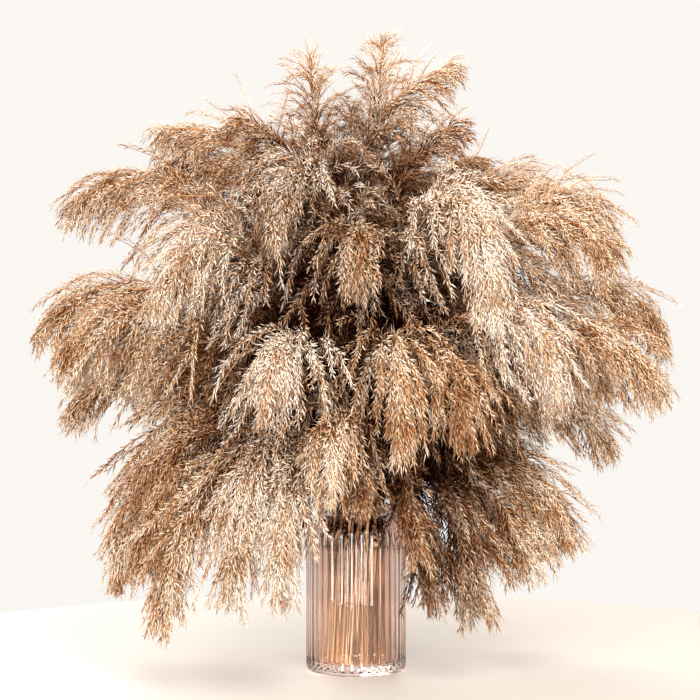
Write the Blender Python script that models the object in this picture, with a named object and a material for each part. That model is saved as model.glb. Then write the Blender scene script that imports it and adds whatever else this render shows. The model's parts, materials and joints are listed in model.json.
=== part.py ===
"""A bundle of dried pampas grass standing in a ribbed glass vase.

Every cut stem with its plume is one object, and the vase is one object. The origin is the middle of
the vase's foot on the table, +Z is up, and the side that is dressed to be seen faces -Y.
Lengths below are in millimetres and angles in degrees; MM turns a length into metres.
"""

import math

import bmesh
import bpy
import numpy as np
from mathutils import Vector

MM = 0.001
GAP = 0.3  # left between pieces that touch

# ---- vase -------------------------------------------------------------------------------------
VASE_HEIGHT = 173.0
BODY_RADIUS = 52.0
FOOT_RADIUS = 46.0  # the flat ring that stands on the table
FOOT_ROUNDING = 6.0  # height of the rounded edge under the ribs
FLOOR_THICKNESS = 9.0
WALL = 4.0
RIB_COUNT = 36
RIB_DEPTH = 1.3
SHOULDER_START = 134.0  # height at which the straight body begins to close in
SHOULDER_END = 160.0
SHOULDER_RINGS = 4
NECK_RADIUS = 34.5
LIP_START = 166.0
LIP_RADIUS = 37.0
MOUTH_RADIUS = 30.5  # inside of neck and lip
STEPS_PER_RIB = 2

# ---- stems and plumes -------------------------------------------------------------------------
STEM_RADIUS = 1.8
TIP_RADIUS = 1.6
PLUME_RADIUS = 21.0  # the solid body of a plume, without its loose outer hairs
PLUME_SHARE = 0.74  # share of a stem above the neck that carries its plume
LONGEST_PLUME = 330.0
BEVEL_RESOLUTION = 1  # six sides
STEM_POINTS = 2  # the two ends of the straight stretch inside the vase
BEND_POINTS = 3
PLUME_POINTS = 11
SAMPLES = 8  # places on each stretch where the room to the neighbours is measured
SWELL_SKEW = 0.62  # moves a plume's widest place towards its base
SWELL_FULLNESS = 0.8  # how blunt the two ends of a plume are
THROAT = 167.0  # height at which a stem begins to bend outwards
RISE = 1.7  # how strongly a stem keeps its first direction
DROOP = 1.25  # how strongly a plume comes round to its last
BEND_LEAD = 13.0  # how far a stem goes on in its own direction past the throat before it has turned
BEND_REACH = 24.0  # and how far it then goes in its new one
BEND_PULL = 40.0  # how gently it turns
FOOT_MARGIN = 4.0  # kept between a foot and the corner of the vase's floor

# The ring that each tier of stems takes in the neck, from the middle of the bundle outwards.
TIER_RINGS = {"crown": 8.8, "high": 15.0, "middle": 21.0, "skirt": 27.0}

# How far a tier's stems travel sideways from the throat down to their feet, as a share of the ring.
# The feet flare out towards the wall of the vase, each tier clear of the next.
TIER_SPIRALS = {"crown": 2.54, "high": 1.62, "middle": 1.21, "skirt": 0.99}

# One line per stem: compass angle of the tip (0 is +X, 90 is +Y, the back), how far the tip is from
# the axis, its height, the way it points (0 up, 90 level, 180 straight down), how far the stem leans
# from upright where it leaves the vase, how boldly it arches, and its tone.
ARRANGEMENT = {
    "crown": [
        (165, 50, 640, 4, 6, 1.0, "tan"),
        (190, 120, 575, 62, 7, 1.0, "brown"),
        (15, 28, 655, 4, 4, 1.0, "tan"),
        (350, 98, 630, 62, 5, 1.0, "tan"),
        (335, 112, 566, 58, 8, 1.0, "brown"),
        (95, 60, 590, 12, 6, 1.0, "tan"),
        (60, 120, 556, 48, 8, 1.0, "tan"),
        (128, 130, 545, 52, 8, 1.0, "pale"),
        (230, 60, 560, 30, 6, 1.0, "brown"),
    ],
    "high": [
        (178, 198, 568, 90, 14, 1.0, "tan"),
        (166, 210, 536, 96, 17, 1.0, "brown"),
        (187, 292, 486, 124, 24, 1.0, "tan"),
        (238, 152, 452, 152, 6, 1.5, "pale"),
        (270, 165, 410, 146, 10, 1.3, "tan"),
        (303, 236, 372, 172, 8, 1.8, "pale"),
        (335, 272, 424, 152, 20, 1.0, "tan"),
        (353, 258, 448, 166, 20, 1.0, "tan"),
        (14, 232, 505, 112, 18, 1.0, "tan"),
        (28, 150, 540, 74, 12, 1.0, "brown"),
        (52, 240, 470, 112, 20, 1.0, "tan"),
        (80, 240, 455, 116, 20, 1.0, "pale"),
        (108, 240, 470, 110, 20, 1.0, "tan"),
        (138, 240, 462, 114, 20, 1.0, "tan"),
    ],
    "middle": [
        (183, 330, 353, 142, 28, 1.0, "tan"),
        (199, 302, 330, 142, 30, 1.0, "tan"),
        (216, 236, 392, 144, 18, 1.35, "pale"),
        (238, 220, 116, 175, 25, 1.3, "pale"),
        (249, 238, 296, 154, 22, 1.0, "pale"),
        (264, 226, 210, 170, 26, 1.0, "tan"),
        (281, 222, 258, 172, 16, 1.5, "tan"),
        (297, 222, 274, 168, 22, 1.1, "brown"),
        (319, 252, 300, 168, 22, 1.3, "pale"),
        (342, 312, 306, 144, 30, 1.0, "tan"),
        (358, 318, 352, 148, 28, 1.0, "tan"),
        (24, 300, 310, 136, 30, 1.0, "tan"),
        (52, 285, 300, 140, 30, 1.0, "brown"),
        (82, 285, 290, 142, 30, 1.0, "tan"),
        (115, 285, 300, 140, 30, 1.0, "pale"),
        (148, 300, 312, 136, 30, 1.0, "tan"),
    ],
    "skirt": [
        (175, 298, 272, 146, 38, 1.0, "tan"),
        (188, 248, 102, 174, 30, 1.55, "tan"),
        (204, 232, 128, 172, 34, 1.4, "brown"),
        (217, 236, 76, 172, 38, 1.1, "tan"),
        (251, 222, 118, 175, 36, 1.05, "pale"),
        (271, 184, 180, 170, 40, 1.0, "brown"),
        (289, 172, 150, 170, 42, 1.0, "brown"),
        (307, 122, 104, 176, 38, 1.0, "tan"),
        (323, 150, 90, 170, 42, 1.0, "tan"),
        (336, 186, 128, 160, 45, 1.0, "tan"),
        (349, 214, 152, 154, 45, 1.0, "tan"),
        (4, 262, 240, 146, 40, 1.0, "tan"),
        (24, 236, 130, 162, 44, 1.0, "tan"),
        (50, 235, 108, 168, 44, 1.0, "tan"),
        (76, 230, 140, 162, 44, 1.0, "brown"),
        (101, 235, 100, 170, 44, 1.0, "tan"),
        (127, 235, 130, 164, 44, 1.0, "tan"),
        (151, 244, 105, 168, 44, 1.0, "tan"),
    ],
}

FINISHES = {
    "pale": {"colour": (0.72, 0.58, 0.42), "roughness": 0.85, "metallic": 0.0},
    "tan": {"colour": (0.55, 0.38, 0.23), "roughness": 0.85, "metallic": 0.0},
    "brown": {"colour": (0.40, 0.25, 0.14), "roughness": 0.9, "metallic": 0.0},
    "rose_glass": {"colour": (0.86, 0.64, 0.58), "roughness": 0.06, "metallic": 0.0},
}


def clear_scene():
    """Removes the objects that the startup file holds."""
    for thing in list(bpy.data.objects):
        bpy.data.objects.remove(thing)


def finish_material(name):
    """Makes the Principled material of one finish."""
    values = FINISHES[name]
    material = bpy.data.materials.new(name)
    material.use_nodes = True
    shader = material.node_tree.nodes["Principled BSDF"]
    shader.inputs["Base Color"].default_value = (*values["colour"], 1.0)
    shader.inputs["Roughness"].default_value = values["roughness"]
    shader.inputs["Metallic"].default_value = values["metallic"]
    if name == "rose_glass":
        shader.inputs["Transmission Weight"].default_value = 1.0
    return material


def link(thing, material, parent):
    """Puts an object in the scene with its material, under the bundle's empty."""
    thing.data.materials.append(material)
    thing.parent = parent
    bpy.context.scene.collection.objects.link(thing)
    return thing


# ---- vase -------------------------------------------------------------------------------------
def shoulder(bottom_radius, top_radius, bottom, top):
    """A quarter of an ellipse from the body up to the neck, as (radius, height) pairs."""
    turn = np.linspace(0.0, math.pi / 2, SHOULDER_RINGS + 1)
    radii = top_radius + (bottom_radius - top_radius) * np.cos(turn)
    heights = bottom + (top - bottom) * np.sin(turn)
    return list(zip(radii, heights))


def vase_profile():
    """Half of the vase's section, from the middle of its underside to the middle of its floor."""
    inner = BODY_RADIUS - WALL
    outside = [
        (0.0, 0.0),
        (FOOT_RADIUS, 0.0),
        (FOOT_RADIUS + 3.6, 1.4),
        (BODY_RADIUS, FOOT_ROUNDING),
        (BODY_RADIUS, FOOT_ROUNDING + 3.0),
        *shoulder(BODY_RADIUS, NECK_RADIUS, SHOULDER_START, SHOULDER_END),
        (NECK_RADIUS, LIP_START),
        (LIP_RADIUS, LIP_START + 1.6),
        (LIP_RADIUS, VASE_HEIGHT - 1.6),
        (LIP_RADIUS - 1.6, VASE_HEIGHT),
    ]
    inside = [
        (MOUTH_RADIUS + 1.0, VASE_HEIGHT),
        (MOUTH_RADIUS, VASE_HEIGHT - 1.5),
        *reversed(shoulder(inner, MOUTH_RADIUS, SHOULDER_START - WALL, SHOULDER_END - 1.0)),
        (inner, FLOOR_THICKNESS + 4.0),
        (inner - 4.0, FLOOR_THICKNESS),
        (0.0, FLOOR_THICKNESS),
    ]
    return outside + inside


def cut_flutes(mesh):
    """Draws every second line of the outer body inwards, which leaves upright ribs."""
    inner = BODY_RADIUS - WALL
    low = (FOOT_ROUNDING + 1.0) * MM
    high = (SHOULDER_START + 12.0) * MM
    step = 2 * math.pi / (RIB_COUNT * STEPS_PER_RIB)
    for vertex in mesh.verts:
        radius = math.hypot(vertex.co.x, vertex.co.y)
        if not (low < vertex.co.z < high and radius > (inner + 1.0) * MM):
            continue
        if round(math.atan2(vertex.co.y, vertex.co.x) / step) % STEPS_PER_RIB:
            shrink = 1.0 - RIB_DEPTH * MM / radius
            vertex.co.x *= shrink
            vertex.co.y *= shrink


def build_vase(material, parent):
    """Turns the vase's section about the upright axis and cuts its flutes."""
    shape = bmesh.new()
    line = [shape.verts.new((r * MM, 0.0, z * MM)) for r, z in vase_profile()]
    edges = [shape.edges.new(pair) for pair in zip(line, line[1:])]
    bmesh.ops.spin(
        shape,
        geom=line + edges,
        cent=(0.0, 0.0, 0.0),
        axis=(0.0, 0.0, 1.0),
        angle=2 * math.pi,
        steps=RIB_COUNT * STEPS_PER_RIB,
        use_merge=True,
    )
    bmesh.ops.remove_doubles(shape, verts=shape.verts, dist=0.00001)
    cut_flutes(shape)
    bmesh.ops.recalc_face_normals(shape, faces=shape.faces)
    data = bpy.data.meshes.new("glass_vase")
    shape.to_mesh(data)
    shape.free()
    data.shade_smooth()
    data.set_sharp_from_angle(angle=math.radians(35))
    return link(bpy.data.objects.new("glass_vase", data), material, parent)


# ---- stems ------------------------------------------------------------------------------------
def along(angle, lean):
    """Unit vector that leans from upright towards a compass angle."""
    turn, tilt = math.radians(angle), math.radians(lean)
    return np.array([math.sin(tilt) * math.cos(turn), math.sin(tilt) * math.sin(turn), math.cos(tilt)])


def hermite(start, leave, end, arrive, count):
    """Points on the cubic that leaves start along leave and comes to end along arrive."""
    t = np.linspace(0.0, 1.0, count)[:, None]
    return (
        (2 * t**3 - 3 * t**2 + 1) * start
        + (t**3 - 2 * t**2 + t) * leave
        + (3 * t**2 - 2 * t**3) * end
        + (t**3 - t**2) * arrive
    )


def neck_places(rows, ring):
    """Evenly spaced places in one ring of the neck, turned to suit the stems that take them."""
    order = sorted(range(len(rows)), key=lambda i: rows[i][0])
    pitch = 360.0 / len(rows)
    slack = [math.radians(rows[i][0] - k * pitch) for k, i in enumerate(order)]
    turn = math.atan2(sum(map(math.sin, slack)), sum(map(math.cos, slack)))
    places = {}
    for k, i in enumerate(order):
        angle = turn + math.radians(k * pitch)
        places[i] = np.array([ring * math.cos(angle), ring * math.sin(angle)])
    return places


def stem_line(place, spiral, row):
    """Centre line of one stem: straight and slanting in the vase, over the rim, then arching."""
    angle, reach, height, points, lean, boldness, _ = row
    sideways = np.array([place[1], -place[0]]) * spiral
    foot_radius = np.hypot(*(place + sideways))
    slant = math.hypot(*sideways) / (THROAT - FLOOR_THICKNESS)
    foot_height = FLOOR_THICKNESS + GAP + STEM_RADIUS * math.sin(math.atan(slant))
    foot = np.array([*(place + sideways), foot_height])
    throat = np.array([*place, THROAT])
    rising = (throat - foot) / np.linalg.norm(throat - foot)
    if foot_radius > BODY_RADIUS - WALL - FOOT_MARGIN - STEM_RADIUS:
        raise ValueError("a stem's foot is outside the vase's floor")
    leaving = along(angle, lean)
    bend_end = throat + BEND_LEAD * rising + BEND_REACH * leaving
    tip = along(angle, 90.0) * reach + np.array([0.0, 0.0, height])
    span = np.linalg.norm(tip - bend_end)
    straight = np.linspace(foot, throat, STEM_POINTS)
    bend = hermite(throat, rising * BEND_PULL, bend_end, leaving * BEND_PULL, BEND_POINTS + 1)
    rise = leaving * span * RISE * boldness
    droop = along(angle, points) * span * DROOP * boldness
    arch = hermite(bend_end, rise, tip, droop, PLUME_POINTS + 1)
    return np.vstack([straight, bend[1:], arch[1:]])


def refined(line, times):
    """The line with extra points on each stretch."""
    steps = np.arange(len(line) - 1)
    parts = [line[k] + (line[k + 1] - line[k]) * j / times for k in steps for j in range(times)]
    return np.array([*parts, line[-1]])


def vase_room(points):
    """Distance from each point to the outside of the vase, taken as a plain cylinder."""
    beside = np.hypot(points[:, 0], points[:, 1]) - BODY_RADIUS
    above = points[:, 2] - VASE_HEIGHT
    return np.hypot(np.clip(beside, 0, None), np.clip(above, 0, None))


def plume_radii(lines):
    """Thickness of each stem at each of its points: a spindle that stops short of its neighbours.

    A plume is never thicker than half the way to the nearest other centre line, so no two meet.
    """
    fine = [refined(line, SAMPLES) for line in lines]
    first = STEM_POINTS + BEND_POINTS - 1
    result = []
    for i, line in enumerate(lines):
        steps = np.linalg.norm(np.diff(line[first:], axis=0), axis=1)
        run = np.concatenate([[0.0], np.cumsum(steps)])
        plume = min(LONGEST_PLUME, PLUME_SHARE * run[-1])
        share = np.clip((run - (run[-1] - plume)) / plume, 0.0, 1.0)
        swell = np.sin(math.pi * share**SWELL_SKEW) ** SWELL_FULLNESS
        radii = np.full(len(line), STEM_RADIUS)
        radii[first:] = np.maximum(PLUME_RADIUS * swell, STEM_RADIUS)
        radii[-1] = TIP_RADIUS
        others = np.vstack([points for k, points in enumerate(fine) if k != i])
        room = np.array([np.linalg.norm(others - point, axis=1).min() for point in fine[i]]) / 2 - GAP
        outside = slice(first * SAMPLES, None)
        room[outside] = np.minimum(room[outside], vase_room(fine[i][outside]) - GAP)
        for k in range(len(line)):
            tightest = room[max(0, (k - 1) * SAMPLES):(k + 1) * SAMPLES + 1].min()
            radii[k] = min(radii[k], max(tightest, TIP_RADIUS))
        result.append(radii)
    return result


def build_stem(name, line, radii, material, parent):
    """One stem and its plume: a bevelled curve that swells where the plume is."""
    curve = bpy.data.curves.new(name, "CURVE")
    curve.dimensions = "3D"
    curve.bevel_depth = MM
    curve.bevel_resolution = BEVEL_RESOLUTION
    curve.use_fill_caps = True
    curve.twist_mode = "MINIMUM"
    spline = curve.splines.new("POLY")
    spline.points.add(len(line) - 1)
    for point, place, radius in zip(spline.points, line, radii):
        point.co = (*(Vector(place) * MM), 1.0)
        point.radius = float(radius)
    spline.use_smooth = True
    return link(bpy.data.objects.new(name, curve), material, parent)


def build_stems(materials, parent):
    """All stems, numbered from the middle of the bundle outwards."""
    lines, tones, names = [], [], []
    for tier, rows in ARRANGEMENT.items():
        places = neck_places(rows, TIER_RINGS[tier])
        for i, row in enumerate(rows):
            lines.append(stem_line(places[i], TIER_SPIRALS[tier], row))
            tones.append(row[-1])
            names.append(f"pampas_stem_{tier}_{i + 1:02d}")
    for name, line, radii, tone in zip(names, lines, plume_radii(lines), tones):
        build_stem(name, line, radii, materials[tone], parent)


def main():
    """Builds the vase and the bundle around one empty."""
    clear_scene()
    materials = {name: finish_material(name) for name in FINISHES}
    bundle = bpy.data.objects.new("pampas_bundle", None)
    bpy.context.scene.collection.objects.link(bundle)
    build_vase(materials["rose_glass"], bundle)
    build_stems(materials, bundle)


main()
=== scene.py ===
"""Looks of a bundle of dried pampas grass that stands in a ribbed rose glass vase.

The fixed frame gives every stem's path and the vase's size. Each stem is grown along its own path:
a round stalk with papery leaves, and a plume of drooping branches that carry slim spikelets.
All lengths are in metres.
"""

from __future__ import annotations

import json
import logging
import math
from dataclasses import dataclass, field
from enum import Enum
from functools import partial
from typing import Any, Callable

import bmesh
import bpy
import numpy as np
from bpy.types import ColorRamp, CurveMap, Material, Mesh, Node, NodeSocket, NodeTree, Object
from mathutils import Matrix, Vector

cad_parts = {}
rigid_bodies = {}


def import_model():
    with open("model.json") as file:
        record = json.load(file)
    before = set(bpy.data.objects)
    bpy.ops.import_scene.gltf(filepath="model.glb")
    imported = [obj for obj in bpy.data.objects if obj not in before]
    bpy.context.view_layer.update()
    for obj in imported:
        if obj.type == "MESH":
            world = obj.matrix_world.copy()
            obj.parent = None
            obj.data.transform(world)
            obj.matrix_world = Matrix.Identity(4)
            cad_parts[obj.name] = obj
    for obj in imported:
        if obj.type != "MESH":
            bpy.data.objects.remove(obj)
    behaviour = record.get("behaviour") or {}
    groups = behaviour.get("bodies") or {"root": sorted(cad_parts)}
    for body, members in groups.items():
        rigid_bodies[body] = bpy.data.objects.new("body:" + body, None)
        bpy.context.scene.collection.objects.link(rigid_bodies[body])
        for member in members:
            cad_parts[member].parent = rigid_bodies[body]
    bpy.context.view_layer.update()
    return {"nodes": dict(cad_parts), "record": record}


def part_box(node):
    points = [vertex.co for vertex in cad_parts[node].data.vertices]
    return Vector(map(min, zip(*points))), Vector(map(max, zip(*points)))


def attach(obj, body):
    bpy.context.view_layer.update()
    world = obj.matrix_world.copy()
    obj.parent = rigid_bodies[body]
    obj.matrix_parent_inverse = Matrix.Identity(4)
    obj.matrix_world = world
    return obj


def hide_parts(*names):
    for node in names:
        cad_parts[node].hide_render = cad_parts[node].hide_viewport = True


GOLDEN_ANGLE = math.pi * (3.0 - math.sqrt(5.0))
DOWN = (0.0, 0.0, -1.0)
WHITE = (1.0, 1.0, 1.0, 1.0)
NODE_FAMILIES = ("ShaderNode", "GeometryNode", "FunctionNode", "Node")

Places = list[tuple[float, float]]
Adder = Callable[..., Node]  # node() for one tree

log = logging.getLogger("pampas")


# ---- helpers ----------------------------------------------------------------------------------
def linear(hex_colour: str) -> tuple[float, float, float, float]:
    """Turns an sRGB hex colour into the linear colour that shaders take.

    Args:
        hex_colour: six hex digits, with or without a leading #.

    Returns:
        Red, green, blue and an alpha of 1.
    """
    digits = hex_colour.lstrip("#")
    parts = [int(digits[k : k + 2], 16) / 255.0 for k in (0, 2, 4)]
    red, green, blue = (c / 12.92 if c <= 0.04045 else ((c + 0.055) / 1.055) ** 2.4 for c in parts)
    return red, green, blue, 1.0


def node(tree: NodeTree, kind: str, inputs: dict | list | tuple = (), **settings: Any) -> Node:
    """Adds a node, with its settings and what goes into its sockets.

    Args:
        tree: the shader or geometry tree.
        kind: the node's type name without its family, such as Math for ShaderNodeMath.
        inputs: values by socket name or place. A node stands for its first live output, and a list
            of them fills a socket that takes several.
        **settings: properties of the node.

    Returns:
        The new node.
    """
    made = tree.nodes.new(next(f + kind for f in NODE_FAMILIES if hasattr(bpy.types, f + kind)))
    for key, value in settings.items():
        setattr(made, key, value)
    pairs = inputs.items() if isinstance(inputs, dict) else enumerate(inputs)
    for key, value in pairs:
        if isinstance(key, str):
            socket = next(s for s in made.inputs if s.name == key and s.enabled)
        else:
            socket = made.inputs[key]
        for source in value if isinstance(value, list) else [value]:
            if isinstance(source, Node):
                source = next(s for s in source.outputs if s.enabled)
            if isinstance(source, NodeSocket):
                tree.links.new(source, socket)
            else:
                socket.default_value = source
    return made


def mesh_object(name: str, data: Mesh) -> Object:
    """Links a mesh to the scene as an object that sits at the origin."""
    made = bpy.data.objects.new(name, data)
    bpy.context.scene.collection.objects.link(made)
    return made


def unit(vector: np.ndarray) -> np.ndarray:
    """The vector at length 1."""
    return vector / np.linalg.norm(vector)


def fresh_material(name: str) -> tuple[Material, Adder]:
    """A new material with no nodes, and the function that adds them to it."""
    made = bpy.data.materials.new(name)
    made.use_nodes = True
    made.node_tree.nodes.clear()
    return made, partial(node, made.node_tree)


def set_stops(ramp: ColorRamp, stops: list[tuple[float, str]]) -> None:
    """Gives a colour ramp its stops, each a place and an sRGB hex colour."""
    for element, (place, colour) in zip(ramp.elements, (stops[0], stops[-1])):
        element.position = place
        element.color = linear(colour)
    for place, colour in stops[1:-1]:
        ramp.elements.new(place).color = linear(colour)


def set_line(curve: CurveMap, points: Places) -> None:
    """Gives a curve its points."""
    for point, place in zip(curve.points, (points[0], points[-1])):
        point.location = place
    for place in points[1:-1]:
        curve.points.new(*place)


# ---- finishes ---------------------------------------------------------------------------------
class Tone(Enum):
    """How far a plume has bleached. The value is the record's material slot."""

    PALE = "pale"
    TAN = "tan"
    BROWN = "brown"


@dataclass(frozen=True)
class DriedPlume:
    """Dried grass flower: thousands of silky hairs, matte across and with a soft glow along the rim.

    The hairs bleach at their tips and keep their brown near the branch, so every spikelet takes a slightly
    different straw colour. Shade is painted in as well: the grass is made lighter on the outside of the
    bundle and darker inside it.
    """

    tone: Tone
    husk: str  # hex colours, from the base of a spikelet to its bleached tip
    straw: str
    silk: str
    tip: str
    stops: tuple[float, ...] = (0.28, 0.48, 0.68, 0.90)  # places of husk, straw, silk and tip
    branch_share: float = 0.17  # how much a hair's own branch, grain, tip and bleached patch do to bleach it, and how much painted light its distance from the bundle's middle adds
    grain_share: float = 0.22
    along_share: float = 0.28
    patch_share: float = 0.30
    # painted light: grass far from the bundle's middle is made lighter
    painted_light_share: float = 0.26
    shift: float = 0.075  # taken off the sum of the shares
    roughness: float = 0.78
    sheen: float = 0.015
    sheen_roughness: float = 0.4
    specular: float = 0.06
    core_shade: str = "#4E220C"  # painted shade: darkens the grass inside the bundle, where shade falls between the plumes
    patch_size: float = 0.035  # bleached patches are a few centimetres across
    patch_low: float = 0.33
    patch_high: float = 0.67
    core_height: float = 0.25
    core_flatness: float = 0.54
    core_radius: float = 0.112
    full_radius: float = 0.21

    def material(self) -> Material:
        """Builds the material from the spikelets' own attributes, with painted shade in the bundle's middle.
        """
        made, add = fresh_material(f"dried_plume_{self.tone.value}")
        branch, grain, along = (
            add("Attribute", attribute_name=name).outputs["Fac"]
            for name in ("branch_tint", "spikelet_tint", "along")
        )
        place = add("TexCoord").outputs["Object"]
        patch = add("TexNoise", {"Vector": place, "Scale": 1.0 / self.patch_size, "Detail": 2.0})
        patch = add(
            "MapRange",
            {"Value": patch.outputs["Fac"], "From Min": self.patch_low, "From Max": self.patch_high},
        )
        # painted light and shade: 0 in the bundle's middle and 1 well outside it
        outward = self.out_of_painted_shade(add, place)
        mixed = add("Math", [branch, self.branch_share], operation="MULTIPLY")
        for source, share in (
            (grain, self.grain_share),
            (along, self.along_share),
            (patch, self.patch_share),
            (outward, self.painted_light_share),
        ):
            mixed = add("Math", [source, share, mixed], operation="MULTIPLY_ADD")
        mixed = add("Math", [mixed, self.shift], operation="SUBTRACT")
        ramp = add("ValToRGB", {"Fac": mixed})
        set_stops(ramp.color_ramp, list(zip(self.stops, (self.husk, self.straw, self.silk, self.tip))))
        # painted shade: the grass in the bundle's middle is multiplied darker
        painted_core_shade = add("Mix", {"Factor": outward, "A": linear(self.core_shade), "B": WHITE}, data_type="RGBA")
        colour = add(
            "Mix",
            {"Factor": 1.0, "A": ramp.outputs["Color"], "B": painted_core_shade},
            data_type="RGBA",
            blend_type="MULTIPLY",
        )
        shader = add(
            "BsdfPrincipled",
            {
                "Base Color": colour,
                "Roughness": self.roughness,
                "Sheen Weight": self.sheen,
                "Sheen Roughness": self.sheen_roughness,
                "Specular IOR Level": self.specular,
            },
        )
        add("OutputMaterial", {"Surface": shader})
        return made

    def out_of_painted_shade(self, add: Adder, place: NodeSocket) -> Node:
        """How far a place lies from the bundle's middle, where shade is painted in: 0 inside it and 1 well
        outside.
        """
        middle = (0.0, 0.0, self.core_height)
        flatten = (1.0, 1.0, self.core_flatness)
        outward = add("VectorMath", [place, middle], operation="SUBTRACT")
        outward = add("VectorMath", [outward, flatten], operation="MULTIPLY")
        outward = add("VectorMath", [outward], operation="LENGTH").outputs["Value"]
        return add(
            "MapRange", {"Value": outward, "From Min": self.core_radius, "From Max": self.full_radius}
        )


@dataclass(frozen=True)
class DriedStalk:
    """Dried grass stalk: a hard, slightly waxy cane, straw yellow with brown streaks along its length."""

    light: str = "#C6AE8A"
    gold: str = "#8E6C42"
    dark: str = "#4E331C"
    stops: tuple[float, ...] = (0.22, 0.50, 0.80)  # places of dark, gold and light
    tint_share: float = 0.62
    streak_share: float = 0.45
    roughness: float = 0.58
    streak: float = 0.0012  # streaks are about a millimetre wide
    streak_stretch: float = 0.06
    relief: float = 0.0003
    relief_strength: float = 0.4

    def material(self) -> Material:
        """Builds the material, with streaks stretched along the upright stalks."""
        made, add = fresh_material("dried_stalk")
        place = add("TexCoord")
        stretched = add(
            "Mapping", {"Vector": place.outputs["Object"], "Scale": (1.0, 1.0, self.streak_stretch)}
        )
        streaks = add("TexNoise", {"Vector": stretched, "Scale": 1.0 / self.streak, "Detail": 3.0})
        tint = add("Attribute", attribute_name="tint")
        streaks = streaks.outputs["Fac"]
        mixed = add("Math", [tint.outputs["Fac"], self.tint_share], operation="MULTIPLY")
        mixed = add("Math", [streaks, self.streak_share, mixed], operation="MULTIPLY_ADD")
        ramp = add("ValToRGB", {"Fac": mixed})
        set_stops(ramp.color_ramp, list(zip(self.stops, (self.dark, self.gold, self.light))))
        bump = add("Bump", {"Height": streaks, "Distance": self.relief, "Strength": self.relief_strength})
        shader = add(
            "BsdfPrincipled",
            {"Base Color": ramp.outputs["Color"], "Roughness": self.roughness, "Normal": bump},
        )
        add("OutputMaterial", {"Surface": shader})
        return made


@dataclass(frozen=True)
class PressedGlass:
    """Soda-lime glass pressed in a mould and tinted rose: clear, smooth, deeper in colour where thick."""

    tint: str = "#F3DCD1"
    edge: str = "#A87868"  # seen edge on, the way through the glass is longer and its colour deeper
    edge_start: float = 0.55
    edge_full: float = 0.95
    ior: float = 1.5
    roughness: float = 0.015
    waves_per_metre: float = 70.0
    wave_height: float = 0.0004
    wave_strength: float = 0.35

    def material(self) -> Material:
        """Builds the material, with the slow waviness that a mould leaves."""
        made, add = fresh_material("pressed_rose_glass")
        place = add("TexCoord").outputs["Object"]
        waves = add("TexNoise", {"Vector": place, "Scale": self.waves_per_metre, "Detail": 1.0})
        bump = add(
            "Bump",
            {"Height": waves.outputs["Fac"], "Distance": self.wave_height, "Strength": self.wave_strength},
        )
        edge_on = add("LayerWeight", {"Blend": 0.5}).outputs["Facing"]
        edge_on = add(
            "MapRange", {"Value": edge_on, "From Min": self.edge_start, "From Max": self.edge_full}
        )
        colour = add(
            "Mix", {"Factor": edge_on, "A": linear(self.tint), "B": linear(self.edge)}, data_type="RGBA"
        )
        shader = add(
            "BsdfPrincipled",
            {
                "Base Color": colour,
                "Roughness": self.roughness,
                "IOR": self.ior,
                "Transmission Weight": 1.0,
                "Normal": bump,
            },
        )
        add("OutputMaterial", {"Surface": shader})
        return made


@dataclass(frozen=True)
class PaintedTable:
    """Matte cream paint, even and pale, for the floor that the object stands on."""

    colour: str = "#CFC7BE"
    roughness: float = 0.6

    def material(self) -> Material:
        """Builds the plain material."""
        made = bpy.data.materials.new("cream_paint")
        made.use_nodes = True
        shader = made.node_tree.nodes["Principled BSDF"]
        shader.inputs["Base Color"].default_value = linear(self.colour)
        shader.inputs["Roughness"].default_value = self.roughness
        return made


PLUME_FINISHES: dict[Tone, DriedPlume] = {
    Tone.PALE: DriedPlume(Tone.PALE, husk="#7C451E", straw="#CFA174", silk="#F4DFC8", tip="#FCF1E4"),
    Tone.TAN: DriedPlume(Tone.TAN, husk="#5C2A0A", straw="#B77C48", silk="#E5C5A2", tip="#F8E8D6"),
    Tone.BROWN: DriedPlume(Tone.BROWN, husk="#481C06", straw="#995C2E", silk="#CDA27A", tip="#EFD5B8"),
}


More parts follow.
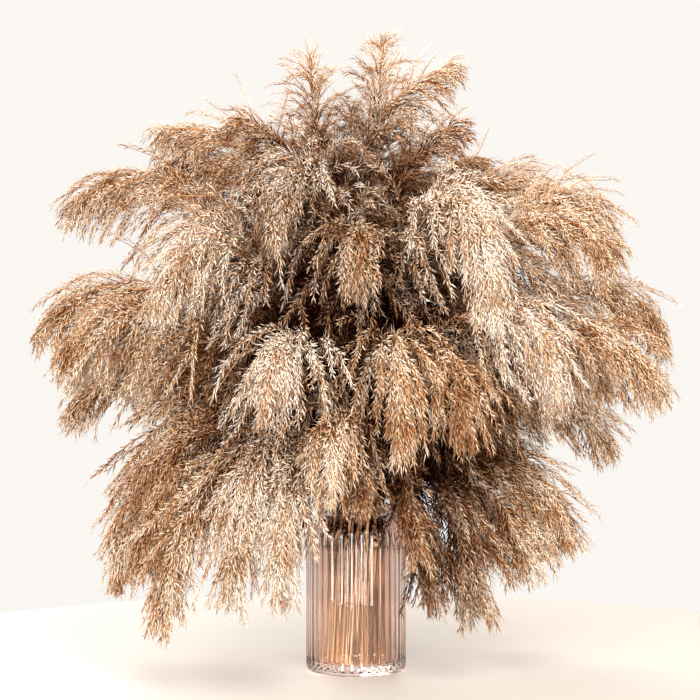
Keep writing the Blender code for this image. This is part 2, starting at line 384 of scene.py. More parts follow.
# ---- vase -------------------------------------------------------------------------------------
@dataclass
class GlassVase:
    """A pressed glass vase: thick floor, fluted body, rounded shoulder, short neck and plain lip."""

    height: float
    body_radius: float
    foot_radius: float = 0.046
    floor: float = 0.009
    wall: float = 0.004
    flutes: int = 36
    flute_depth: float = 0.0016
    flute_bottom: float = 0.0075
    flute_top: float = 0.146
    shoulder_start: float = 0.134
    shoulder_end: float = 0.160
    neck_radius: float = 0.0345
    lip_start: float = 0.1655
    lip_radius: float = 0.037
    mouth_radius: float = 0.0305
    lip_rounding: float = 0.0018
    foot_rounding: float = 0.0055
    underside: float = 0.0022  # the middle of the underside is raised, so that a ring stands on the table
    flute_fade: float = 0.006  # a flute's ends run out over this height
    steps_per_flute: int = 10

    def shoulder(self, outer: float, inner: float, low: float, high: float, steps: int) -> Places:
        """A quarter ellipse from the body in to the neck, as (radius, height) pairs."""
        turn = np.linspace(0.0, math.pi / 2, steps + 1)
        return [(inner + (outer - inner) * math.cos(t), low + (high - low) * math.sin(t)) for t in turn]

    def round_corner(self, centre: tuple[float, float], radius: float, start: float, end: float) -> Places:
        """An arc of the section.

        Args:
            centre: radius and height of the arc's centre.
            radius: the arc's own radius.
            start: first angle in degrees, where 0 points away from the axis and 90 up.
            end: last angle in degrees.

        Returns:
            Six (radius, height) pairs.
        """
        turn = np.radians(np.linspace(start, end, 6))
        return [(centre[0] + radius * math.cos(t), centre[1] + radius * math.sin(t)) for t in turn]

    def section(self) -> Places:
        """Half of the vase's section, from the middle of the underside round to the middle of the floor."""
        body = [(self.body_radius, float(z)) for z in np.linspace(0.0085, self.shoulder_start, 12)]
        inner = self.body_radius - self.wall
        lip = self.lip_rounding
        rounding = self.foot_rounding
        outer_shoulder = self.shoulder(
            self.body_radius, self.neck_radius, self.shoulder_start, self.shoulder_end, 12
        )
        inner_shoulder = self.shoulder(
            inner, self.mouth_radius, self.shoulder_start - self.wall, self.shoulder_end - 0.001, 10
        )
        outside = [
            (0.0, self.underside),
            (self.foot_radius - 0.010, self.underside),
            (self.foot_radius - 0.006, 0.0),
            (self.foot_radius, 0.0),
            *self.round_corner((self.body_radius - rounding, rounding), rounding, -80.0, -8.0),
            *body,
            *outer_shoulder[1:],
            (self.neck_radius, self.lip_start - 0.001),
            (self.neck_radius + 0.0006, self.lip_start),
            *self.round_corner((self.lip_radius - lip, self.lip_start + lip), lip, -70.0, 0.0),
            *self.round_corner((self.lip_radius - lip, self.height - lip), lip, 0.0, 90.0),
        ]
        inside = [
            *self.round_corner((self.mouth_radius + lip, self.height - lip), lip, 90.0, 180.0),
            *reversed(inner_shoulder),
            *[
                (inner, float(z))
                for z in np.linspace(self.shoulder_start - 2 * self.wall, self.floor + 0.007, 6)
            ],
            *self.round_corner((inner - 0.006, self.floor + 0.006), 0.006, 0.0, -90.0)[1:],
            (0.0, self.floor),
        ]
        return outside + inside

    def flute(self, turn: float, height: float) -> float:
        """How far the outer wall is scooped in at one place.

        Args:
            turn: angle about the axis in radians.
            height: height above the table.

        Returns:
            Depth of the flute there, which runs out in a rounded end above the foot and on the shoulder.
        """
        across = math.modf(abs(turn) * self.flutes / (2 * math.pi) + 0.5)[0] * 2.0 - 1.0
        across = 1.0 - abs(across)
        scoop = 1.0 - across * across
        end = min(height - self.flute_bottom, self.flute_top - height)
        if end <= 0.0:
            return 0.0
        fade = min(end / self.flute_fade + 0.35 * scoop, 1.0)
        return self.flute_depth * scoop * math.sin(fade * math.pi / 2)

    def cut(self, radius: float, height: float, turn: float) -> float:
        """How far the section's point moves in at one angle: only the outer wall has flutes."""
        in_wall = radius > self.body_radius - self.wall + 0.0005
        in_shoulder = height > self.shoulder_start and radius > self.neck_radius + 0.002
        is_outside = radius > self.mouth_radius + self.wall * 0.95
        return self.flute(turn, height) if (in_wall or in_shoulder) and is_outside else 0.0

    def build(self, material: Material) -> Object:
        """Sweeps the section round the axis and presses the flutes into its outer wall.

        Args:
            material: the glass.

        Returns:
            The vase's object.
        """
        section = self.section()
        columns = self.flutes * self.steps_per_flute
        shape = bmesh.new()
        rings: list[list[bmesh.types.BMVert]] = []
        for radius, height in section:
            if radius == 0.0:
                rings.append([shape.verts.new((0.0, 0.0, height))])
                continue
            ring = []
            for column in range(columns):
                turn = 2 * math.pi * column / columns
                reach = radius - self.cut(radius, height, turn)
                ring.append(shape.verts.new((reach * math.cos(turn), reach * math.sin(turn), height)))
            rings.append(ring)
        for lower, upper in zip(rings, rings[1:]):
            for column in range(columns):
                after = (column + 1) % columns
                if len(lower) == 1:
                    shape.faces.new((lower[0], upper[after], upper[column]))
                elif len(upper) == 1:
                    shape.faces.new((lower[column], lower[after], upper[0]))
                else:
                    shape.faces.new((lower[column], lower[after], upper[after], upper[column]))
        bmesh.ops.recalc_face_normals(shape, faces=shape.faces)
        data = bpy.data.meshes.new("ribbed_glass_vase")
        shape.to_mesh(data)
        shape.free()
        data.shade_smooth()
        data.materials.append(material)
        made = mesh_object("ribbed_glass_vase", data)
        made.visible_shadow = False  # clear glass lets the light through to the stalks inside
        return made


# ---- stems ------------------------------------------------------------------------------------
@dataclass
class StemPath:
    """The centre line that the frame gives one stem, and how thick its solid is along it."""

    points: np.ndarray
    radii: np.ndarray

    @classmethod
    def of_solid(cls, solid: Object, stem_radius: float) -> StemPath:
        """Reads the centre line off a stem's solid, ring by ring from its foot.

        Args:
            solid: the stem's frame object, whose mesh is loose triangles.
            stem_radius: radius of the bare stem, which finds the first ring.

        Returns:
            The path, from the foot to the tip.
        """
        corners = np.empty(len(solid.data.vertices) * 3, np.float32)
        solid.data.vertices.foreach_get("co", corners)
        corners = corners.reshape(-1, 3).astype(float)
        triangles = np.array([face.vertices[:] for face in solid.data.polygons])
        _, first, index = np.unique(np.round(corners, 6), axis=0, return_index=True, return_inverse=True)
        places = corners[first]
        beside: list[set[int]] = [set() for _ in places]
        for a, b, c in index.reshape(-1)[triangles]:
            beside[a] |= {b, c}
            beside[b] |= {a, c}
            beside[c] |= {a, b}
        lowest = places[places[:, 2].argmin()]
        ring = set(np.nonzero(np.linalg.norm(places - lowest, axis=1) < 2.2 * stem_radius)[0])
        seen = set(ring)
        centres, radii = [], []
        while ring:
            around = places[sorted(ring)]
            centres.append(around.mean(axis=0))
            radii.append(np.linalg.norm(around - centres[-1], axis=1).mean())
            ring = set().union(*[beside[i] for i in ring]) - seen
            seen |= ring
        return cls(np.array(centres), np.array(radii))

    def lengths(self) -> np.ndarray:
        """Distance along the path from the foot to each point."""
        return np.concatenate([[0.0], np.cumsum(np.linalg.norm(np.diff(self.points, axis=0), axis=1))])

    def smooth(self, step: float) -> np.ndarray:
        """Evenly spaced points on a smooth curve through the path's own points.

        Args:
            step: distance between the points.

        Returns:
            The points, from the foot to the tip.
        """
        knots = self.lengths()
        slopes = np.gradient(self.points, knots, axis=0)
        slopes[0] = unit(self.points[1] - self.points[0])
        slopes[1] = slopes[0]
        wanted = np.linspace(0.0, knots[-1], max(8, round(knots[-1] / step)))
        which = np.clip(np.searchsorted(knots, wanted, side="right") - 1, 0, len(knots) - 2)
        span = (knots[which + 1] - knots[which])[:, None]
        t = ((wanted - knots[which]) / span[:, 0])[:, None]
        return (
            (2 * t**3 - 3 * t**2 + 1) * self.points[which]
            + (t**3 - 2 * t**2 + t) * span * slopes[which]
            + (3 * t**2 - 2 * t**3) * self.points[which + 1]
            + (t**3 - t**2) * span * slopes[which + 1]
        )


# What one stem is grown from: the value that each input has unless the stem says otherwise.
STEM_INPUTS: dict[str, float | int | None] = {
    "Plume Start": 0.3,
    "Leaf Start": 0.05,
    "Leaf End": 0.25,
    "Leaf Twist": 1.0,
    "Leaf Tint": 0.5,
    "Stalk Tint": 0.5,
    "Beard": 0.2,
    "Beard Length": 0.011,
    "Branch Spacing": 0.0018,
    "Branch Length": 0.080,
    "Spread": 0.60,
    "Droop": 0.5,
    "Spikelet Spacing": 0.00168,
    "Spikelet Length": 0.0130,
    "Spikelet Width": 0.00105,
    "Seed": 1,
    "Plume Finish": None,
}
SOCKET_KINDS = {float: "NodeSocketFloat", int: "NodeSocketInt", type(None): "NodeSocketMaterial"}

# How wide a leaf and how long a plume's branches are, from foot to tip.
LEAF_SHAPE: Places = [(0.0, 0.06), (0.30, 0.85), (0.62, 1.0), (1.0, 0.25)]
PLUME_SHAPE: Places = [(0.0, 0.0), (0.14, 0.58), (0.34, 1.0), (0.66, 0.88), (0.86, 0.62), (1.0, 0.20)]


@dataclass
class PlumeTree:
    """The Geometry Nodes tree that grows one stem: stalk, leaves, branches and spikelets."""

    stalk_finish: Material
    branch_points: int = 7
    twig_points: int = 3
    wander: float = 0.010  # how far the tip of a branch strays, and over what distance it turns
    wander_scale: float = 1 / 0.028
    leaf_width: float = 0.0070
    leaf_thickness: float = 0.0006
    leaf_offset: float = 0.0024
    shoulder_height: float = 0.143  # hairs keep off the glass here and upwards, until they clear the lip
    shoulder_room: float = 0.037
    neck_room: float = 0.0215
    lip_height: float = 0.183
    outside_vase: float = 0.075
    outline_low: tuple[float, float, float] = (-0.335, -0.230, -1.0)  # branches end inside this box
    outline_high: tuple[float, float, float] = (0.330, 0.290, 0.670)
    least_pace: float = 0.3  # a branch that hardly heads for a side of the box counts as this slow
    shortest: float = 0.012
    beard_angle: float = 0.55  # the short hairs under a plume lie close to the stalk
    curtain_height: float = 0.176  # hairs in front of the vase end here and leave the glass in view
    curtain_half_width: float = 0.046
    curtain_edge: float = 0.02
    curtain_slope: float = 0.2  # how much longer they may be beside the vase
    shortest_curtain: float = 0.008
    fringe_share: float = 0.60  # share of the beard that only has its shortest hairs
    twig_base: float = 0.0007
    twig_tip: float = 0.0002
    bare_share: float = 0.10  # a branch carries no spikelets up to here
    inputs: dict[str, str] = field(default_factory=dict)
    group: NodeTree | None = None

    def build(self) -> None:
        """Makes the tree and remembers each input's identifier."""
        tree = bpy.data.node_groups.new("pampas_stem", "GeometryNodeTree")
        face = tree.interface
        face.new_socket(name="Path", in_out="INPUT", socket_type="NodeSocketGeometry")
        for name, value in STEM_INPUTS.items():
            socket = face.new_socket(name=name, in_out="INPUT", socket_type=SOCKET_KINDS[type(value)])
            if value is not None:
                socket.default_value = value
            self.inputs[name] = socket.identifier
        face.new_socket(name="Stem", in_out="OUTPUT", socket_type="NodeSocketGeometry")
        self.group = tree
        add = partial(node, tree)
        given = add("GroupInput").outputs
        path = add("MeshToCurve", {"Mesh": given["Path"]})
        canes = []
        for part, tint in (
            (self.stalk(add, path), "Stalk Tint"), (self.blade(add, path, given), "Leaf Tint")
        ):
            canes.append(
                add("StoreNamedAttribute", {"Geometry": part, "Name": "tint", "Value": given[tint]})
            )
        stalk = add("JoinGeometry", {"Geometry": canes})
        branches = self.branches(add, path, given)
        plume = self.spikelets(add, branches, given)
        twigs = self.twigs(add, branches)
        hairs = add("JoinGeometry", {"Geometry": [plume, twigs]})
        hairs = add("RealizeInstances", {"Geometry": hairs})
        hairs = add("SetMaterial", {"Geometry": hairs, "Material": given["Plume Finish"]})
        stalk = add("SetMaterial", {"Geometry": stalk, "Material": self.stalk_finish})
        whole = add("JoinGeometry", {"Geometry": [hairs, stalk]})
        whole = add("SetShadeSmooth", {"Geometry": whole})
        add("GroupOutput", {"Stem": whole})

    def stalk(self, add: Adder, path: Node) -> Node:
        """The stalk: a round tube whose thickness the path carries, closed at both ends."""
        width = add("InputNamedAttribute", {"Name": "thickness"})
        round_profile = add("CurvePrimitiveCircle", {"Resolution": 8, "Radius": 1.0})
        return add(
            "CurveToMesh", {"Curve": path, "Profile Curve": round_profile, "Scale": width, "Fill Caps": True}
        )

    def blade(self, add: Adder, path: Node, given: Any) -> Node:
        """A dry leaf along the lower stalk: a thin flat strip that twists and narrows at both ends."""
        leaf = add("TrimCurve", {"Curve": path, "Start": given["Leaf Start"], "End": given["Leaf End"]})
        leaf = add("ResampleCurve", {"Curve": leaf, "Count": 14})
        along = add("SplineParameter").outputs["Factor"]
        twist = given["Leaf Twist"]
        turned = add("Math", [along, twist, twist], operation="MULTIPLY_ADD")
        leaf = add("SetCurveTilt", {"Curve": leaf, "Tilt": turned})
        shape = add("FloatCurve", {"Value": along})
        set_line(shape.mapping.curves[0], LEAF_SHAPE)
        shape.mapping.update()
        strip = add("CurvePrimitiveQuadrilateral", {"Width": self.leaf_width, "Height": self.leaf_thickness})
        strip = add("Transform", {"Geometry": strip, "Translation": (0.0, self.leaf_offset, 0.0)})
        return add("CurveToMesh", {"Curve": leaf, "Profile Curve": strip, "Scale": shape, "Fill Caps": True})

    def chance(self, add: Adder, low: float, high: float, seed: NodeSocket, offset: int) -> Node:
        """A random number for each branch or spikelet, from the stem's seed moved on by an offset."""
        own = add("Math", [seed, float(offset)], operation="ADD")
        return add("RandomValue", {"Min": low, "Max": high, "Seed": own})

    def about(self, add: Adder, stops: Node, turn: Node) -> Node:
        """The direction square to a curve, at an angle about it."""
        tangent, normal = stops.outputs["Tangent"], stops.outputs["Normal"]
        across = add("VectorMath", [tangent, normal], operation="CROSS_PRODUCT")
        cosine = add("Math", [turn], operation="COSINE")
        sine = add("Math", [turn], operation="SINE")
        along_normal = add("VectorMath", {0: normal, 3: cosine}, operation="SCALE")
        crosswise = add("VectorMath", {0: across, 3: sine}, operation="SCALE")
        return add("VectorMath", [along_normal, crosswise], operation="ADD")

    def branches(self, add: Adder, path: Node, given: Any) -> Node:
        """The drooping branches, as curves that leave the plume's axis.

        Each branch starts along its own heading and bends down under its weight, more towards its
        tip. Branches are longest a third of the way up the plume and shortest at its tip.
        """
        plume = add("TrimCurve", {"Curve": path, "Start": given["Plume Start"]})
        share = add("SplineParameter")
        plume = add(
            "StoreNamedAttribute", {"Geometry": plume, "Name": "up_plume", "Value": share.outputs["Factor"]}
        )
        stops = add("CurveToPoints", {"Curve": plume, "Length": given["Branch Spacing"]}, mode="LENGTH")
        up_plume = add("InputNamedAttribute", {"Name": "up_plume"})
        count = add("InputIndex")
        seed = given["Seed"]
        turn = self.chance(add, -0.5, 0.5, seed, 101)
        turn = add("Math", [count, GOLDEN_ANGLE, turn], operation="MULTIPLY_ADD")
        outward = self.about(add, stops, turn)
        narrowing = add("MapRange", {"Value": up_plume, "To Min": 1.0, "To Max": 0.45})
        opening = add(
            "MapRange", {"Value": up_plume, "From Max": given["Beard"], "To Min": self.beard_angle}
        )
        angle = given["Spread"]
        for factor in (narrowing, self.chance(add, 0.30, 1.3, seed, 202), opening):
            angle = add("Math", [angle, factor], operation="MULTIPLY")
        cosine = add("Math", [angle], operation="COSINE")
        sine = add("Math", [angle], operation="SINE")
        forward = add("VectorMath", {0: stops.outputs["Tangent"], 3: cosine}, operation="SCALE")
        sideways = add("VectorMath", {0: outward, 3: sine}, operation="SCALE")
        heading = add("VectorMath", [forward, sideways], operation="ADD")
        fringe = add("Math", [given["Beard"], self.fringe_share], operation="MULTIPLY")
        share = add("MapRange", {"Value": up_plume, "From Min": fringe})
        taper = add("FloatCurve", {"Value": share})
        set_line(taper.mapping.curves[0], PLUME_SHAPE)
        taper.mapping.update()
        here = add("InputPosition")
        reach = given["Branch Length"]
        for value, operation in (
            (taper, "MULTIPLY"),
            (given["Beard Length"], "MAXIMUM"),
            (self.chance(add, 0.70, 1.15, seed, 303), "MULTIPLY"),
            (self.room_above_vase(add, here), "MINIMUM"),
            (self.room_around(add, here, heading), "MINIMUM"),
        ):
            reach = add("Math", [reach, value], operation=operation)
        stored = stops
        for name, value, kind in (
            ("root", here, "FLOAT_VECTOR"),
            ("heading", heading, "FLOAT_VECTOR"),
            ("reach", reach, "FLOAT"),
            ("sway", self.chance(add, 0.6, 1.5, seed, 505), "FLOAT"),
            ("branch_tint", self.chance(add, 0.0, 1.0, seed, 404), "FLOAT"),
        ):
            stored = add(
                "StoreNamedAttribute", {"Geometry": stored, "Name": name, "Value": value}, data_type=kind
            )
        twig = add("CurvePrimitiveLine", {"End": (0.0, 0.0, 0.01)})
        twig = add("ResampleCurve", {"Curve": twig, "Count": self.branch_points})
        grown = add(
            "InstanceOnPoints", {"Points": stored, "Selection": self.clear_of_glass(add), "Instance": twig}
        )
        return self.bent(add, add("RealizeInstances", {"Geometry": grown}), given)

    def bent(self, add: Adder, grown: Node, given: Any) -> Node:
        """The straight branches laid along their headings, bent down by their weight and made wavy."""
        along = add("SplineParameter").outputs["Factor"]
        root = add("InputNamedAttribute", {"Name": "root"}, data_type="FLOAT_VECTOR")
        heading = add("InputNamedAttribute", {"Name": "heading"}, data_type="FLOAT_VECTOR")
        reach = add("InputNamedAttribute", {"Name": "reach"})
        sway = add("InputNamedAttribute", {"Name": "sway"})
        run = add("Math", [reach, along], operation="MULTIPLY")
        fall = along
        for factor in (given["Droop"], sway):
            fall = add("Math", [fall, factor], operation="MULTIPLY")
        down = add("VectorMath", {0: DOWN, 3: fall}, operation="SCALE")
        aim = add("VectorMath", [heading, down], operation="ADD")
        aim = add("VectorMath", [aim], operation="NORMALIZE")
        aim = add("VectorMath", {0: aim, 3: run}, operation="SCALE")
        place = add("VectorMath", [root, aim], operation="ADD")
        placed = add("SetPosition", {"Geometry": grown, "Position": place})
        here = add("InputPosition")
        noise = add("TexNoise", {"Vector": here, "Scale": self.wander_scale, "Detail": 0.0})
        noise = noise.outputs["Color"]
        wander = add("VectorMath", [noise, (0.5, 0.5, 0.5)], operation="SUBTRACT")
        swing = add("Math", [along, self.wander], operation="MULTIPLY")
        wander = add("VectorMath", {0: wander, 3: swing}, operation="SCALE")
        return add("SetPosition", {"Geometry": placed, "Offset": wander})

    def clear_of_glass(self, add: Adder) -> Node:
        """True where hairs have room: above the lip, well outside the vase, or far enough inside its wall."""
        here = add("SeparateXYZ", [add("InputPosition")]).outputs
        height = here["Z"]
        flat = add("CombineXYZ", {"X": here["X"], "Y": here["Y"]})
        off_axis = add("VectorMath", [flat], operation="LENGTH").outputs["Value"]
        room = add(
            "MapRange",
            {
                "Value": height,
                "From Min": self.shoulder_height,
                "From Max": self.shoulder_height + 0.008,
                "To Min": self.shoulder_room,
                "To Max": self.neck_room,
            },
        )
        clear = None
        for more, less in ((room, off_axis), (height, self.lip_height), (off_axis, self.outside_vase)):
            wide = add("Compare", {"A": more, "B": less})  # asks whether A is greater than B
            clear = add("BooleanMath", [clear, wide], operation="OR") if clear else wide
        return clear

    def room_above_vase(self, add: Adder, here: Node) -> Node:
        """How long a branch may be before it would hang down in front of the vase."""
        corner = add("SeparateXYZ", [here]).outputs
        drop = add("Math", [corner["Z"], self.curtain_height], operation="SUBTRACT")
        drop = add("Math", [drop, self.shortest_curtain], operation="MAXIMUM")
        aside = add("Math", [corner["X"]], operation="ABSOLUTE")
        edge = self.curtain_half_width
        aside = add("MapRange", {"Value": aside, "From Min": edge, "From Max": edge + self.curtain_edge})
        return add("Math", [aside, self.curtain_slope, drop], operation="MULTIPLY_ADD")

    def room_around(self, add: Adder, here: Node, heading: Node) -> Node:
        """How long a branch may be before it would leave the bundle's outline along its heading."""
        least = (self.least_pace,) * 3
        onward = add("VectorMath", [heading, least], operation="MAXIMUM")
        ahead = add("VectorMath", [self.outline_high, here], operation="SUBTRACT")
        ahead = add("VectorMath", [ahead, onward], operation="DIVIDE")
        away = add("VectorMath", [heading, (-1.0, -1.0, -1.0)], operation="MULTIPLY")
        away = add("VectorMath", [away, least], operation="MAXIMUM")
        behind = add("VectorMath", [here, self.outline_low], operation="SUBTRACT")
        behind = add("VectorMath", [behind, away], operation="DIVIDE")
        room = add("VectorMath", [ahead, behind], operation="MINIMUM")
        room = add("SeparateXYZ", [room]).outputs
        nearest = add("Math", [room["X"], room["Y"]], operation="MINIMUM")
        nearest = add("Math", [nearest, room["Z"]], operation="MINIMUM")
        return add("Math", [nearest, self.shortest], operation="MAXIMUM")

    def twigs(self, add: Adder, branches: Node) -> Node:
        """The branches' own thin stems, three-sided and tapering."""
        along = add("SplineParameter").outputs["Factor"]
        width = add("MapRange", {"Value": along, "To Min": self.twig_base, "To Max": self.twig_tip})
        profile = add("CurvePrimitiveCircle", {"Resolution": 3, "Radius": 1.0})
        fewer = add("ResampleCurve", {"Curve": branches, "Count": self.twig_points})
        return add(
            "CurveToMesh", {"Curve": fewer, "Profile Curve": profile, "Scale": width, "Fill Caps": True}
        )

    def spikelet(self, add: Adder) -> Node:
        """One spikelet of length and half-width 1: a closed lance-shaped husk, folded along its keel."""
        awn = add(
            "MeshCone", {"Vertices": 3, "Radius Top": 0.0, "Radius Bottom": 1.0, "Depth": 1.0}
        ).outputs["Mesh"]
        corner = add("SeparateXYZ", [add("InputPosition")]).outputs
        wing = add("Math", [corner["X"], 0.0], operation="MINIMUM")
        fold = add("Math", [wing, 0.7], operation="MULTIPLY")
        lift = add("Math", [wing, -0.8, corner["Z"]], operation="MULTIPLY_ADD")
        folded = add("CombineXYZ", {"X": fold, "Y": corner["Y"], "Z": lift})
        awn = add("SetPosition", {"Geometry": awn, "Position": folded})
        height = add("SeparateXYZ", [add("InputPosition")]).outputs["Z"]
        return add("StoreNamedAttribute", {"Geometry": awn, "Name": "along", "Value": height})

    def spikelets(self, add: Adder, branches: Node, given: Any) -> Node:
        """Spikelets along every branch, splayed forward and closing in towards its tip."""
        along = add("SplineParameter").outputs["Factor"]
        marked = add("StoreNamedAttribute", {"Geometry": branches, "Name": "up_branch", "Value": along})
        stops = add("CurveToPoints", {"Curve": marked, "Length": given["Spikelet Spacing"]}, mode="LENGTH")
        up_branch = add("InputNamedAttribute", {"Name": "up_branch"})
        count = add("InputIndex")
        seed = given["Seed"]
        turn = self.chance(add, -0.6, 0.6, seed, 211)
        turn = add("Math", [count, GOLDEN_ANGLE, turn], operation="MULTIPLY_ADD")
        outward = self.about(add, stops, turn)
        closing = add("MapRange", {"Value": up_branch, "To Min": 1.0, "To Max": 0.6})
        splay = add("Math", [self.chance(add, 0.10, 1.20, seed, 422), closing], operation="MULTIPLY")
        sideways = add("VectorMath", {0: outward, 3: splay}, operation="SCALE")
        aim = add("VectorMath", [stops.outputs["Tangent"], sideways], operation="ADD")
        turned = add("AlignRotationToVector", {"Vector": aim}, axis="Z")
        size = add("MapRange", {"Value": up_branch, "To Min": 1.0, "To Max": 0.72})
        reach = add("InputNamedAttribute", {"Name": "reach"})
        young = add("MapRange", {"Value": reach, "From Min": 0.010, "From Max": 0.024, "To Min": 0.55})
        length = given["Spikelet Length"]
        for factor in (size, self.chance(add, 0.65, 1.25, seed, 633), young):
            length = add("Math", [length, factor], operation="MULTIPLY")
        width = given["Spikelet Width"]
        for factor in (size, self.chance(add, 0.6, 1.2, seed, 844)):
            width = add("Math", [width, factor], operation="MULTIPLY")
        scale = add("CombineXYZ", {"X": width, "Y": width, "Z": length})
        tinted = add(
            "StoreNamedAttribute",
            {"Geometry": stops, "Name": "spikelet_tint", "Value": self.chance(add, 0.0, 1.0, seed, 1055)},
        )
        bearing = add("Compare", {"A": up_branch, "B": self.bare_share})
        return add(
            "InstanceOnPoints",
            {
                "Points": tinted,
                "Selection": bearing,
                "Instance": self.spikelet(add),
                "Rotation": turned,
                "Scale": scale,
            },
        )


@dataclass(frozen=True)
class PlumeHabit:
    """How the branches of a plume grow: how long, how wide they spread and how far they droop."""

    branch_length: float
    spread: float
    droop: float
    spikelet_length: float = 0.0145
    spikelet_width: float = 0.00116


HABITS: dict[str, PlumeHabit] = {
    "crown": PlumeHabit(
        branch_length=0.080, spread=1.10, droop=0.50, spikelet_length=0.0150, spikelet_width=0.00135
    ),
    "high": PlumeHabit(branch_length=0.106, spread=0.95, droop=0.72),
    "middle": PlumeHabit(branch_length=0.112, spread=0.92, droop=0.80),
    "skirt": PlumeHabit(branch_length=0.092, spread=1.00, droop=0.45),
}


@dataclass
class PampasStem:
    """One cut stem of pampas grass with its plume."""

    name: str
    tone: Tone
    habit: PlumeHabit
    path: StemPath
    seed: int
    stem_radius: float = 0.0018
    stalk_radius: float = 0.0015
    tip_radius: float = 0.0005
    taper_start: float = 0.35  # share of the stem's length from which it thins
    joint_spacing: float = 0.085
    joint_shift: float = 0.013  # from one stem to the next, so that their joints aren't level
    joint_length: float = 0.006  # to either side of a joint's middle
    joint_swell: float = 0.22
    joint_top: float = 0.45  # share of the stem's length above which no joint shows
    bare_height: float = 0.092  # the stalk is bare up to here and a little further on some stems
    bare_variety: float = 0.046
    leaf_foot: float = 0.016  # the leaves' torn ends hang at different heights
    leaf_variety: float = 0.090
    leaf_top: float = 0.150
    leaf_twist: float = 0.7

    def share(self, step: float) -> float:
        """A number from 0 to 1 that differs from stem to stem."""
        return math.modf(self.seed * step)[0]

    def share_at(self, height: float) -> float:
        """Share of the stem's length at which it passes a height in or just above the vase."""
        knots = self.path.lengths()
        return float(np.interp(height, self.path.points[:6, 2], knots[:6]) / knots[-1])

    def plume_start(self) -> float:
        """Share of the stem's length at which its first hairs grow."""
        return self.share_at(self.bare_height + self.bare_variety * self.share(0.618))

    def beard(self) -> float:
        """Share of the hairy stretch, from its start, that only has short hairs."""
        knots = self.path.lengths()
        start = self.plume_start() * knots[-1]
        first = int(np.argmax(self.path.radii > 1.5 * self.stem_radius))
        return float(np.clip((knots[max(first - 1, 5)] - start) / (knots[-1] - start), 0.05, 0.5))

    def carrier(self) -> Object:
        """The path as a line of points, each with the stalk's thickness there."""
        points = self.path.smooth(step=0.009)
        run = np.linspace(0.0, 1.0, len(points))
        length = self.path.lengths()[-1]
        thickness = np.interp(run, [self.taper_start, 1.0], [self.stalk_radius, self.tip_radius])
        along = run * length + self.joint_shift * self.seed
        off_joint = along % self.joint_spacing - self.joint_spacing / 2
        swollen = (np.abs(off_joint) < self.joint_length) * (run < self.joint_top)
        thickness = thickness * (1.0 + self.joint_swell * swollen)
        data = bpy.data.meshes.new(self.name + "_path")
        data.from_pydata(points.tolist(), [(k, k + 1) for k in range(len(points) - 1)], [])
        carried = data.attributes.new("thickness", "FLOAT", "POINT")
        carried.data.foreach_set("value", thickness.astype(np.float32))
        return mesh_object(self.name + "_path", data)

    def build(self, tree: PlumeTree, finish: Material) -> Object:
        """Grows the stem and turns it into a plain mesh.

        Args:
            tree: the Geometry Nodes tree that grows stems.
            finish: the plume's material.

        Returns:
            The stem's object.
        """
        carrier = self.carrier()
        growth = carrier.modifiers.new("growth", "NODES")
        growth.node_group = tree.group
        values = {
            "Plume Start": self.plume_start(),
            "Beard": self.beard(),
            "Leaf Start": self.share_at(self.leaf_foot + self.leaf_variety * self.share(0.382)),
            "Leaf End": self.share_at(self.leaf_top),
            "Leaf Twist": self.leaf_twist * (self.seed % 9),
            "Leaf Tint": self.share(0.727),
            "Stalk Tint": self.share(0.531),
            "Branch Length": self.habit.branch_length,
            "Spread": self.habit.spread,
            "Droop": self.habit.droop,
            "Spikelet Length": self.habit.spikelet_length,
            "Spikelet Width": self.habit.spikelet_width,
            "Seed": self.seed,
            "Plume Finish": finish,
        }
        for name, value in values.items():
            growth[tree.inputs[name]] = value
        graph = bpy.context.evaluated_depsgraph_get()
        data = bpy.data.meshes.new_from_object(carrier.evaluated_get(graph), depsgraph=graph)
        data.name = self.name
        carrier.modifiers.remove(growth)
        bpy.data.objects.remove(carrier)
        return mesh_object(self.name, data)


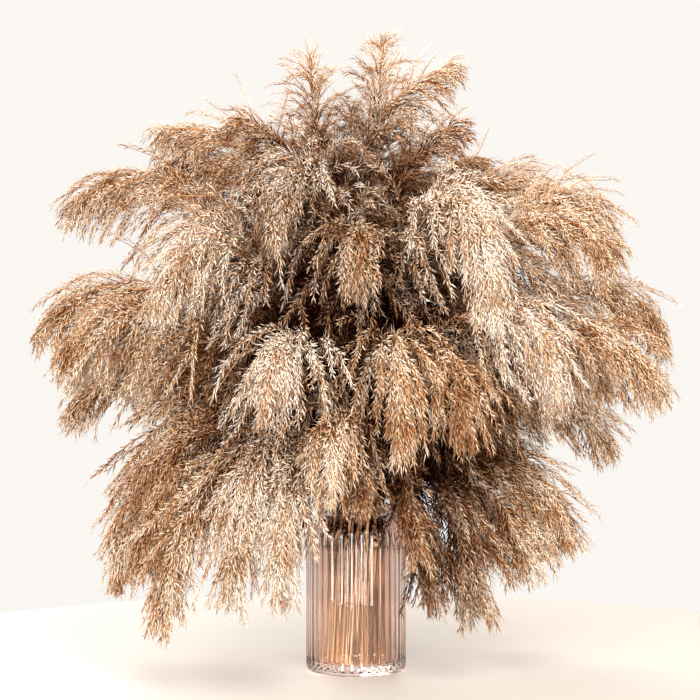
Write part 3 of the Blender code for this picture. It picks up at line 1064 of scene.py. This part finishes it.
# ---- studio -----------------------------------------------------------------------------------
@dataclass
class Studio:
    """Pale floor, soft lights, a plain pale surround and the camera."""

    eye: tuple[float, float, float] = (-0.0063, -2.0, 0.334)
    lens: float = 98.4
    surround: str = "#FBF7F2"
    surround_light: float = 0.62
    floor_radius: float = 0.62
    floor_sides: int = 180
    lamp_colour: str = "#FFFBF8"
    aim_height: float = 0.33

    def floor(self) -> Object:
        """A round pale table top at the height of the vase's foot."""
        turns = [2 * math.pi * k / self.floor_sides for k in range(self.floor_sides)]
        rim = [(self.floor_radius * math.cos(t), self.floor_radius * math.sin(t), 0.0) for t in turns]
        data = bpy.data.meshes.new("floor")
        data.from_pydata(rim, [], [tuple(range(self.floor_sides))])
        data.materials.append(PaintedTable().material())
        made = mesh_object("floor", data)
        return made

    def surroundings(self) -> None:
        """An even pale surround, which lights the object more softly than it shows."""
        world = bpy.data.worlds.new("pale_surround")
        world.use_nodes = True
        world.node_tree.nodes.clear()
        add = partial(node, world.node_tree)
        colour = linear(self.surround)
        seen = add("Background", {"Color": colour, "Strength": 1.0})
        glow = add("Background", {"Color": colour, "Strength": self.surround_light})
        rays = add("LightPath").outputs
        direct = add("Math", [rays["Is Camera Ray"], rays["Is Transmission Ray"]], operation="MAXIMUM")
        mixed = add("MixShader", [direct, glow, seen])
        add("OutputWorld", {"Surface": mixed})
        bpy.context.scene.world = world

    def soft_box(self, name: str, place: tuple[float, float, float], size: float, watts: float) -> None:
        """A square area light aimed at the middle of the bundle."""
        lamp = bpy.data.lights.new(name, "AREA")
        lamp.size = size
        lamp.energy = watts
        lamp.color = linear(self.lamp_colour)[:3]
        made = bpy.data.objects.new(name, lamp)
        made.location = place
        aim = Vector((0.0, 0.0, self.aim_height)) - Vector(place)
        made.rotation_euler = aim.to_track_quat("-Z", "Y").to_euler()
        bpy.context.scene.collection.objects.link(made)

    def camera(self) -> None:
        """A long lens at the height of the bundle's middle, held level."""
        data = bpy.data.cameras.new("camera")
        data.lens = self.lens
        data.sensor_width = 36.0
        made = bpy.data.objects.new("camera", data)
        made.location = self.eye
        made.rotation_euler = (math.radians(90.0), 0.0, 0.0)
        bpy.context.scene.collection.objects.link(made)
        bpy.context.scene.camera = made

    def build(self) -> None:
        """Sets up floor, surround, lights and camera."""
        self.floor()
        self.surroundings()
        self.soft_box("key", place=(1.2, -2.7, 2.4), size=2.2, watts=160.0)
        self.soft_box("fill", place=(-1.5, -3.2, 1.1), size=2.1, watts=128.0)
        self.soft_box("back", place=(-1.0, 2.6, 2.0), size=2.0, watts=100.0)
        self.soft_box("low", place=(-0.4, -3.0, 0.25), size=1.4, watts=82.0)
        self.camera()
        bpy.context.scene.view_settings.view_transform = "Standard"


# ---- assembly ---------------------------------------------------------------------------------
def tone_of(record: dict, name: str) -> Tone:
    """The tone that the record gives a stem's node."""
    slots = {row["node"]: row["material_slot"] for row in record["subparts"]}
    return Tone(slots[name])


def main() -> None:
    """Builds the vase and every stem, dresses them and sets up the studio."""
    logging.basicConfig(level=logging.INFO, format="%(name)s: %(message)s")
    for thing in list(bpy.data.objects):
        bpy.data.objects.remove(thing)
    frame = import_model()

    low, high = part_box("glass_vase")
    vase = GlassVase(height=high.z, body_radius=high.x).build(PressedGlass().material())
    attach(vase, "root")
    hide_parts("glass_vase")
    log.info("%s: %d faces", vase.name, len(vase.data.polygons))

    tree = PlumeTree(DriedStalk().material())
    tree.build()
    finishes = {tone: finish.material() for tone, finish in PLUME_FINISHES.items()}
    faces = 0
    for seed, name in enumerate(sorted(n for n in frame["nodes"] if n.startswith("pampas_stem")), start=1):
        tone = tone_of(frame["record"], name)
        path = StemPath.of_solid(frame["nodes"][name], PampasStem.stem_radius)
        habit = HABITS[name.split("_")[2]]
        stem = PampasStem(name.replace("pampas_stem", "pampas_grass"), tone, habit, path, seed)
        grown = stem.build(tree, finishes[tone])
        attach(grown, "root")
        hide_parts(name)
        faces += len(grown.data.polygons)
        log.info("%s: %d faces", grown.name, len(grown.data.polygons))
    log.info("stems in all: %d faces", faces)

    Studio().build()


if __name__ == "__main__":
    main()
